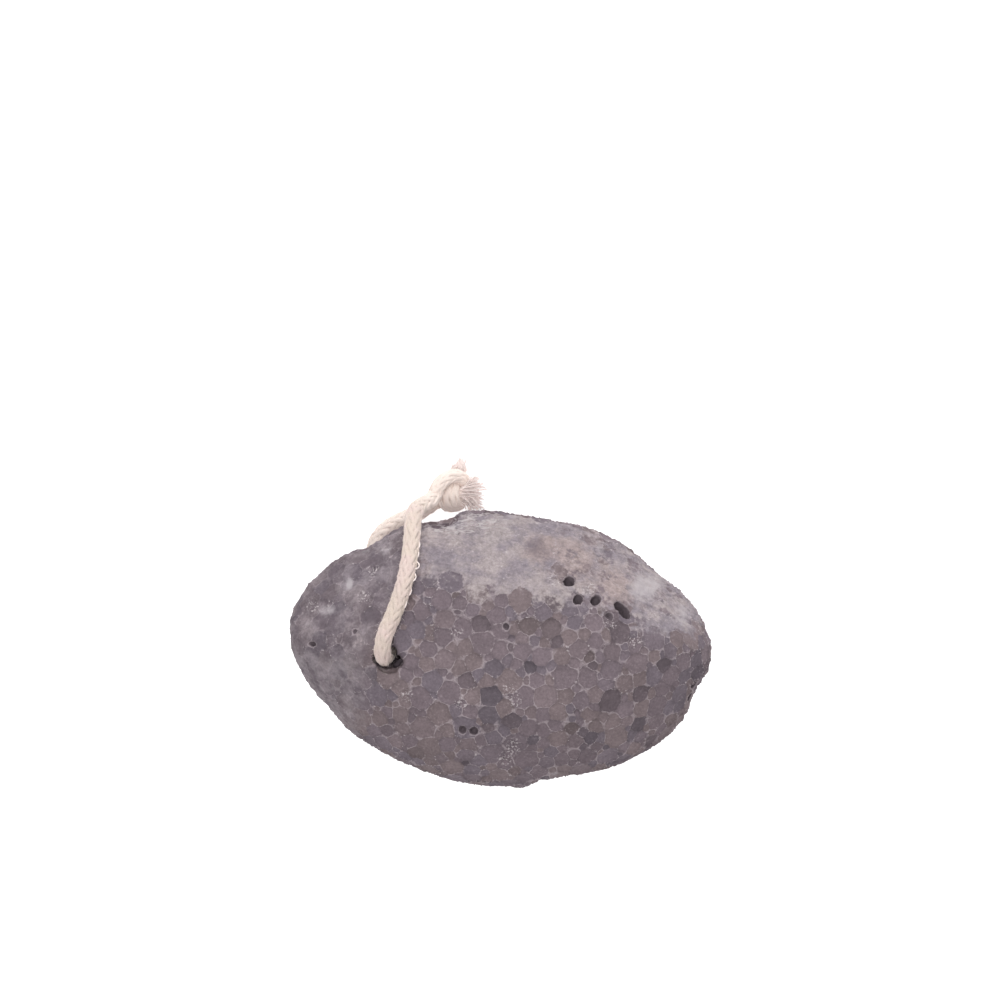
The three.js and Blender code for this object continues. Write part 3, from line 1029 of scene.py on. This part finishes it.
depth = bead_depths(len(radii))[bead] + FLANK_DISH * flank * np.minimum(radii[bead] / LARGE_BEAD, 1)
inside = np.clip(wall / (DISH_RIM * radii[bead]), 0, 1)
rubbed = np.maximum(wear_and_painted_light, smear)
dish = depth * inside * (2 - inside) * (1 - 0.8 * rubbed) * (1 - hollow)
ridge = WALL_HEIGHT * np.exp(-((wall / WALL_WIDTH) ** 2)) * (1 - 0.7 * rubbed)
lumps = LUMP_HEIGHT * noise_at(skin, 3.0 * MM, seed=4, octaves=3) * (0.25 + rubbed + 1.2 * fold)
rough = ROUGH_HEIGHT * noise_at(skin, 0.9 * MM, seed=5, octaves=3) * (1 + 2 * grit + flank)
step_down = GRIT_DEPTH * grit * ramp(noise_at(skin, 1.1 * MM, seed=6), 0.05, 0.3)
moved = FLANK_GAIN * flank + ridge - dish + lumps + rough - step_down - chipped(skin)
moved = np.where(skin[:, 2] < 0.3 * MM, np.minimum(moved, 0), moved)
skin_now = skin + facing * moved[:, None]
skin_now[:, 2] = np.maximum(skin_now[:, 2], 0)
move_points(stone.data, skin_now)
stone.data.polygons.foreach_set("use_smooth", [True] * len(stone.data.polygons))
print("skin moved from", round(float(moved.min()) / MM, 2), "to", round(float(moved.max()) / MM, 2), "mm")

# %% Keep what the material needs on the mesh
TONE_LIMITS = (0.9, 1.1)
DARKER_CHANCE = 0.1
DARKER_TONES = (0.8, 0.9)
DARK_TONES = (0.68, 0.8)  # of the dark beads on the face
tone = np.clip(rng.normal(1.0, 0.04, len(radii)), *TONE_LIMITS)
darker = rng.random(len(radii)) < DARKER_CHANCE
tone[darker] *= rng.uniform(*DARKER_TONES, int(darker.sum()))
tone[: len(DARK_BEADS)] = rng.uniform(*DARK_TONES, len(DARK_BEADS))
hue = rng.random(len(radii))
for number in range(SETS):
    beads = set_beads[:, number]
    rows = np.column_stack([set_rims[:, number] / MM, tone[beads], hue[beads]])
    layer = stone.data.attributes.new("bead_set_" + str(number), "FLOAT_VECTOR", "POINT")
    layer.data.foreach_set("vector", rows.astype(np.float32).ravel())
masks = {
    "wear_and_painted_light": wear_and_painted_light,
    "smear": smear,
    "patch": blobs(skin, PATCHES_AND_HIGHLIGHTS),
    "warm": blobs(skin, WARM_SPOTS),
    "grit": grit,
    "fold": fold,
    # painted shade: the material darkens the skin deep inside the open pores
    "hollow": hollow,
    # painted rim light: the flanks, and the left end's near side even more, are painted paler
    "painted_rim_light": np.maximum(0.2 * flank, 0.5 * left_side(skin)),
}
for name, values in masks.items():
    store(stone.data, name, values)
print("stone:", triangles(stone.data), "triangles")

# %% [markdown]
# ## Materials
#
# Each finish is one Principled BSDF whose colour and bump come from nodes. The grain that both need,
# and the comparison of the bead sets, are node groups.

# %% Helpers for nodes
def new_material(name):
    """An empty material with a Principled BSDF, and its node tree."""
    material = bpy.data.materials.new(name)
    material.use_nodes = True
    return material, material.node_tree, material.node_tree.nodes["Principled BSDF"]


def add_node(tree, kind, settings=(), **inputs):
    """Adds a node, sets its properties, and fills its inputs with values or with other sockets."""
    node = tree.nodes.new(kind)
    for name, value in dict(settings).items():
        setattr(node, name, value)
    for name, value in inputs.items():
        socket = node.inputs[int(name[1:])] if name[0] == "_" else node.inputs[name.replace("_", " ")]
        if isinstance(value, bpy.types.NodeSocket):
            tree.links.new(value, socket)
        else:
            socket.default_value = value
    return node


def attribute(tree, name):
    """The socket that gives one of the numbers kept on the mesh."""
    return add_node(tree, "ShaderNodeAttribute", {"attribute_name": name}).outputs["Fac"]


def mapped(tree, value, low, high, to_low=0.0, to_high=1.0):
    """A smooth step of a value from low and high to a new range."""
    settings = {"interpolation_type": "SMOOTHSTEP"}
    node = add_node(tree, "ShaderNodeMapRange", settings, _0=value, _1=low, _2=high, _3=to_low, _4=to_high)
    return node.outputs[0]


def maths(tree, operation, first, second=0.5, third=0.5):
    """One sum on sockets or numbers."""
    settings = {"operation": operation}
    return add_node(tree, "ShaderNodeMath", settings, _0=first, _1=second, _2=third).outputs[0]


def mixed(tree, share, first, second, blend="MIX"):
    """Two colours mixed, or laid over each other, by a share."""
    settings = {"data_type": "RGBA", "blend_type": blend}
    return add_node(tree, "ShaderNodeMix", settings, _0=share, _6=first, _7=second).outputs[2]


def shaded(tree, colour, shade):
    """A colour made darker or lighter by a shade, which is 1 where it changes nothing."""
    return mixed(tree, 1.0, colour, shade, "MULTIPLY")


def swing(tree, value, by, about=0.0):
    """A noise value from 0 to 1 as a swing to both sides of `about`."""
    return maths(tree, "MULTIPLY_ADD", maths(tree, "SUBTRACT", value, 0.5), by, about)


def object_place(tree):
    """Where each point is on the piece."""
    return add_node(tree, "ShaderNodeTexCoord").outputs["Object"]


def noise_node(tree, scale, detail=2.0, roughness=0.5, where=None):
    """Noise from 0 to 1 over the piece, with `scale` blobs in a metre."""
    spot = where or object_place(tree)
    node = add_node(tree, "ShaderNodeTexNoise", Vector=spot, Scale=scale, Detail=detail, Roughness=roughness)
    return node.outputs["Fac"]


def bump_node(tree, height, depth, normal):
    """A bump of the given height, laid over the bump that is already there."""
    values = {"Strength": 0.5, "Distance": depth, "Height": height, "Normal": normal}
    return add_node(tree, "ShaderNodeBump", **values).outputs[0]


# %% Node groups
def new_group(name, inputs, outputs):
    """An empty node group with the given inputs and outputs, and its two end nodes."""
    group = bpy.data.node_groups.new(name, "ShaderNodeTree")
    for side, sockets in (("INPUT", inputs), ("OUTPUT", outputs)):
        for socket, kind in sockets:
            group.interface.new_socket(socket, in_out=side, socket_type="NodeSocket" + kind)
    return group, group.nodes.new("NodeGroupInput").outputs, group.nodes.new("NodeGroupOutput").inputs


def use_group(tree, group, **inputs):
    """The outputs of a node group inside another tree."""
    return add_node(tree, "ShaderNodeGroup", {"node_tree": group}, **inputs).outputs


def grain_group():
    """Fine dry grain: how light or dark it makes the colour, and the bump that it gives."""
    group, given, out = new_group(
        "dry_grain",
        [("Blobs", "Float"), ("Contrast", "Float"), ("Depth", "Float")],
        [("Shade", "Float"), ("Normal", "Vector")],
    )
    grain = noise_node(group, given["Blobs"], 4, 0.65)
    bump = add_node(group, "ShaderNodeBump", Strength=0.6, Distance=given["Depth"], Height=grain).outputs[0]
    group.links.new(swing(group, grain, given["Contrast"], 1.0), out["Shade"])
    group.links.new(bump, out["Normal"])
    return group


def bead_group():
    """Compares the bead sets: how far the wall and the rim are in millimetres, and the bead's tones."""
    outputs = ("Wall", "Rim", "Tone", "Hue")
    group, _, out = new_group("bead_cells", [], [(name, "Float") for name in outputs])
    rows = []
    for number in range(SETS):
        settings = {"attribute_name": "bead_set_" + str(number)}
        row = add_node(group, "ShaderNodeAttribute", settings).outputs["Vector"]
        rows.append(add_node(group, "ShaderNodeSeparateXYZ", _0=row).outputs)
    near, tone, hue = rows[0]
    second = 99.0
    for rim, this_tone, this_hue in rows[1:]:
        closer = maths(group, "LESS_THAN", rim, near)
        second = maths(group, "MINIMUM", second, maths(group, "MAXIMUM", rim, near))
        near = maths(group, "MINIMUM", near, rim)
        tone = add_node(group, "ShaderNodeMix", _0=closer, _2=tone, _3=this_tone).outputs[0]
        hue = add_node(group, "ShaderNodeMix", _0=closer, _2=hue, _3=this_hue).outputs[0]
    wall = maths(group, "MULTIPLY", maths(group, "SUBTRACT", second, near), 0.5)
    for name, socket in zip(outputs, (wall, near, tone, hue)):
        group.links.new(socket, out[name])
    return group


dry_grain = grain_group()
bead_cells = bead_group()
print("node groups:", [group.name for group in bpy.data.node_groups])

# %% Pumice
BEAD_COLOURS = [(0.160, 0.132, 0.154, 1), (0.176, 0.139, 0.156, 1), (0.192, 0.150, 0.157, 1)]
WALL_COLOUR = (0.40, 0.34, 0.36, 1)
GRIT_COLOUR = (0.50, 0.445, 0.455, 1)
SMEAR_DARK = (0.122, 0.100, 0.117, 1)
SMEAR_PALE = (0.272, 0.234, 0.253, 1)
# The worn colours are paler than the beads, partly as painted light, because the bevels they colour face the
# far softbox.
WORN_LIT_BLUE = (0.255, 0.223, 0.250, 1)
WORN_LIT_BEIGE = (0.405, 0.351, 0.351, 1)
WORN_LIT_WARM = (0.37, 0.290, 0.275, 1)
PALE_PATCH_AND_HIGHLIGHT = (0.44, 0.40, 0.42, 1)
PATCH_DARK = (0.11, 0.088, 0.105, 1)
RIM_LIGHT_COLOUR = (0.36, 0.32, 0.335, 1)
CREST_COLOUR = (0.52, 0.47, 0.48, 1)
PAINTED_PORE_SHADE = (0.115, 0.092, 0.104, 1)


def bead_colour(tree, cells):
    """The inside of each bead: one of three close greys, its own tone, and painted shade at its rim."""
    brown = mapped(tree, cells["Hue"], 0.5, 0.8)
    blue = mapped(tree, cells["Hue"], 0.1, 0.4, 1.0, 0.0)
    colour = mixed(tree, brown, BEAD_COLOURS[1], BEAD_COLOURS[2])
    colour = mixed(tree, blue, colour, BEAD_COLOURS[0])
    # painted shade: darker near the wall, where a dished bead would be in shadow
    rim = mapped(tree, cells["Wall"], 0.12, 0.8, 0.93, 1.02)
    return shaded(tree, colour, maths(tree, "MULTIPLY", cells["Tone"], rim))


def rubbed_and_lit_colour(tree, colour, fine):
    """Smears on the left end, and rubbing with painted light on the bevels, hide the beads under mottled grey
    and beige.
    """
    cloud = noise_node(tree, 170, 6, 0.62)
    streak = noise_node(tree, 760, 4, 0.65)
    smeared = mixed(tree, mapped(tree, cloud, 0.4, 0.64), SMEAR_DARK, SMEAR_PALE)
    smeared = shaded(tree, smeared, mapped(tree, streak, 0.3, 0.7, 0.84, 1.16))
    share = mapped(tree, attribute(tree, "smear"), 0.0, 1.0, 0.0, 0.68)
    colour = mixed(tree, share, colour, smeared)
    # wear and painted light: the bevels get these paler colours
    worn_and_lit = mixed(tree, mapped(tree, cloud, 0.38, 0.62), WORN_LIT_BLUE, WORN_LIT_BEIGE)
    warm = swing(tree, cloud, 1.6, attribute(tree, "warm"))
    worn_and_lit = mixed(tree, mapped(tree, warm, 0.25, 0.9, 0.0, 0.75), worn_and_lit, WORN_LIT_WARM)
    worn_and_lit = shaded(tree, worn_and_lit, mapped(tree, streak, 0.3, 0.7, 0.82, 1.16))
    ragged = swing(tree, streak, 1.3, attribute(tree, "wear_and_painted_light"))
    share = mapped(tree, ragged, 0.3, 0.75, 0.0, 0.78)
    return shaded(tree, mixed(tree, share, colour, worn_and_lit), fine)


def pale_lines(tree, colour, cells):
    """Thin pale walls that come and go, wider where three beads meet, and white grit in the gaps."""
    come_and_go = mapped(tree, noise_node(tree, 420, 3, 0.65), 0.43, 0.58)
    crumbs = swing(tree, noise_node(tree, 2300, 2, 0.6), 0.4)
    thin = mapped(tree, maths(tree, "ADD", cells["Wall"], crumbs), 0.03, 0.17, 1.0, 0.0)
    gap = mapped(tree, cells["Rim"], 0.0, 0.2)
    lines = maths(tree, "MAXIMUM", thin, maths(tree, "MULTIPLY", gap, 0.6))
    hidden = maths(tree, "MAXIMUM", attribute(tree, "wear_and_painted_light"), attribute(tree, "smear"))
    lines = maths(tree, "MULTIPLY", lines, come_and_go)
    lines = maths(tree, "MULTIPLY", lines, mapped(tree, hidden, 0.1, 0.9, 0.66, 0.36))
    colour = mixed(tree, lines, colour, WALL_COLOUR)
    speck = mapped(tree, noise_node(tree, 1900, 2, 0.6), 0.6, 0.68)
    near = mapped(tree, cells["Wall"], 0.1, 0.45, 1.0, 0.12)
    seeded = mapped(tree, noise_node(tree, 190, 3, 0.6), 0.45, 0.62)
    specks = maths(tree, "MULTIPLY", speck, maths(tree, "MULTIPLY", near, seeded))
    clot = mapped(tree, noise_node(tree, 1700, 3, 0.65), 0.53, 0.64)
    clot = maths(tree, "MULTIPLY", clot, mapped(tree, attribute(tree, "grit"), 0.3, 0.7))
    return mixed(tree, maths(tree, "MAXIMUM", specks, clot), colour, GRIT_COLOUR)


def fold_crests(tree):
    """Thin crumpled ridges along the far edge: 1 on a crest, 0 away from them."""
    drawn_out = {"Vector": object_place(tree), "Scale": (0.22, 1.0, 0.5)}
    long = add_node(tree, "ShaderNodeMapping", **drawn_out).outputs[0]
    ripple = maths(tree, "ABSOLUTE", maths(tree, "SUBTRACT", noise_node(tree, 620, 3, 0.6, long), 0.5))
    return maths(tree, "MULTIPLY", mapped(tree, ripple, 0.0, 0.07, 1.0, 0.0), attribute(tree, "fold"))


def pumice_material():
    """Matt foam: mauve-grey beads, thin broken pale walls, white grit, rubbed bevels partly painted lighter,
    painted shade in the pits.
    """
    material, tree, shader = new_material("pumice")
    cells = use_group(tree, bead_cells)
    fine = use_group(tree, dry_grain, Blobs=1900.0, Contrast=0.85, Depth=0.11 * MM)
    drift = mapped(tree, noise_node(tree, 210, 6, 0.75), 0.3, 0.7, 0.88, 1.12)
    colour = shaded(tree, bead_colour(tree, cells), drift)
    colour = rubbed_and_lit_colour(tree, colour, fine["Shade"])
    colour = pale_lines(tree, colour, cells)
    ragged = swing(tree, noise_node(tree, 600, 4, 0.65), 1.1)
    patch = maths(tree, "ADD", attribute(tree, "patch"), ragged)
    rim_lit = maths(tree, "ADD", attribute(tree, "painted_rim_light"), ragged)
    crest = fold_crests(tree)
    pit = attribute(tree, "hollow")
    for mask, steps, over in [
        # pale patches, which on the left shoulder are partly painted highlights
        (patch, (0.3, 1.0, 0.0, 0.75), PALE_PATCH_AND_HIGHLIGHT),
        (patch, (-0.9, -0.2, 0.5, 0.0), PATCH_DARK),
        # painted rim light on the flanks and the left end's near side
        (rim_lit, (0.3, 1.0, 0.0, 0.7), RIM_LIGHT_COLOUR),
        (crest, (0.3, 0.85, 0.0, 0.75), CREST_COLOUR),
        (pit, (0.02, 0.1, 0.0, 0.5), WALL_COLOUR),
        # painted shade deep inside the open pores
        (pit, (0.1, 0.45), PAINTED_PORE_SHADE),
    ]:
        colour = mixed(tree, mapped(tree, mask, *steps), colour, over)
    rise = maths(tree, "SUBTRACT", maths(tree, "MULTIPLY", crest, 7.0), mapped(tree, cells["Wall"], 0.0, 0.5))
    bump = bump_node(tree, rise, 0.12 * MM, fine["Normal"])
    tree.links.new(colour, shader.inputs["Base Color"])
    tree.links.new(bump, shader.inputs["Normal"])
    shader.inputs["Roughness"].default_value = 0.92
    shader.inputs["Specular IOR Level"].default_value = 0.2
    return material


# %% Cotton
CREAM = (0.665, 0.56, 0.49, 1)
PINK = (0.685, 0.555, 0.515, 1)
LOW_CORD_PAINTED_LIGHT = (0.88, 0.765, 0.70, 1)
LOOSE_FIBRE_LIGHT = (0.92, 0.815, 0.785, 1)
GROOVE_SHADE = (0.60, 0.47, 0.40, 1)
PLIES = 5.0  # strands twisted into each yarn
PLY_PITCH = 5.5  # millimetres along the yarn for one turn of a strand


def cotton_material():
    """Soft undyed cotton: twisted strands in each yarn, a pink or cream drift in the colour, painted light
    and shade, sheen.
    """
    material, tree, shader = new_material("cotton")
    around = maths(tree, "ARCTAN2", attribute(tree, "around_y"), attribute(tree, "around_x"))
    turned = maths(tree, "MULTIPLY_ADD", attribute(tree, "along"), 2 * math.pi / PLY_PITCH, around)
    wave = maths(tree, "SINE", maths(tree, "MULTIPLY", turned, PLIES))
    strand = mapped(tree, wave, -1.0, 0.6)
    drift = mapped(tree, noise_node(tree, 190, 2, 0.5), 0.35, 0.65)
    colour = mixed(tree, drift, CREAM, PINK)
    # painted light: the cord low down, in the stone's shade, is painted paler to even out its shading
    colour = mixed(tree, attribute(tree, "painted_light_low"), colour, LOW_CORD_PAINTED_LIGHT)
    # painted shade: the colour darkens a little in the grooves between the strands
    painted_groove_shade = maths(tree, "MULTIPLY", maths(tree, "SUBTRACT", 1.0, strand), 0.06)
    colour = mixed(tree, painted_groove_shade, colour, GROOVE_SHADE)
    fluff = use_group(tree, dry_grain, Blobs=3300.0, Contrast=0.34, Depth=0.1 * MM)
    colour = shaded(tree, colour, fluff["Shade"])
    # the loose fibres' paler colour is partly painted light, for light through the thin fibres and against
    # their shade on one another
    colour = mixed(tree, attribute(tree, "loose"), colour, LOOSE_FIBRE_LIGHT)
    bump = bump_node(tree, strand, 0.04 * MM, fluff["Normal"])
    tree.links.new(colour, shader.inputs["Base Color"])
    tree.links.new(bump, shader.inputs["Normal"])
    shader.inputs["Roughness"].default_value = 0.95
    shader.inputs["Specular IOR Level"].default_value = 0.2
    shader.inputs["Sheen Weight"].default_value = 0.15
    shader.inputs["Sheen Roughness"].default_value = 0.5
    return material


stone.data.materials.append(pumice_material())
cotton = cotton_material()
for piece in (cord, upper_brush, lower_brush, loops, cord_fuzz):
    piece.data.materials.append(cotton)

# %% [markdown]
# ## The floor and the light
#
# The stone lies on a pale, plain sheet, which gives a little light of its own. One softbox stands low on
# the far side, so that the rubbed bevels are bright and the flat face is darker. Another hangs overhead,
# and a dim dome fills the rest.

# %% Floor and lights
def make_floor():
    """A wide, plain, pale sheet that the object lies on."""
    bm = bmesh.new()
    bmesh.ops.create_grid(bm, x_segments=1, y_segments=1, size=4)
    mesh = bpy.data.meshes.new("floor")
    bm.to_mesh(mesh)
    bm.free()
    floor = add_object("floor", mesh)
    material, _, shader = new_material("pale_sheet")
    shader.inputs["Base Color"].default_value = (0.9, 0.9, 0.9, 1)
    shader.inputs["Roughness"].default_value = 0.9
    shader.inputs["Emission Color"].default_value = (1, 1, 1, 1)
    shader.inputs["Emission Strength"].default_value = 0.7
    floor.data.materials.append(material)


def add_softbox(name, direction, distance, size, power):
    """A square soft light that stands in a direction from the stone and faces it."""
    data = bpy.data.lights.new(name, "AREA")
    data.size = size
    data.energy = power
    lamp = bpy.data.objects.new(name, data)
    out = Vector(direction).normalized()
    lamp.location = Vector((0, 0, WIDEST_LEVEL)) + out * distance
    lamp.rotation_euler = out.to_track_quat("Z", "Y").to_euler()
    bpy.context.scene.collection.objects.link(lamp)


make_floor()
add_softbox("key", (0.15, 0.86, 0.5), 1.0, 0.8, 6)
add_softbox("top", (-0.1, -0.1, 1), 1.6, 1.2, 19)
world = bpy.data.worlds.new("dome")
world.use_nodes = True
world.node_tree.nodes["Background"].inputs["Color"].default_value = (1, 1, 1, 1)
world.node_tree.nodes["Background"].inputs["Strength"].default_value = 0.25
bpy.context.scene.world = world
bpy.context.scene.view_settings.view_transform = "Standard"

# %% [markdown]
# ## Tell the frame what each piece is

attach(stone, "root")
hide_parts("stone")
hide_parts("cord_loop", "cord_knot")
for piece in (cord, upper_brush, lower_brush, loops, cord_fuzz):
    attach(piece, "root")
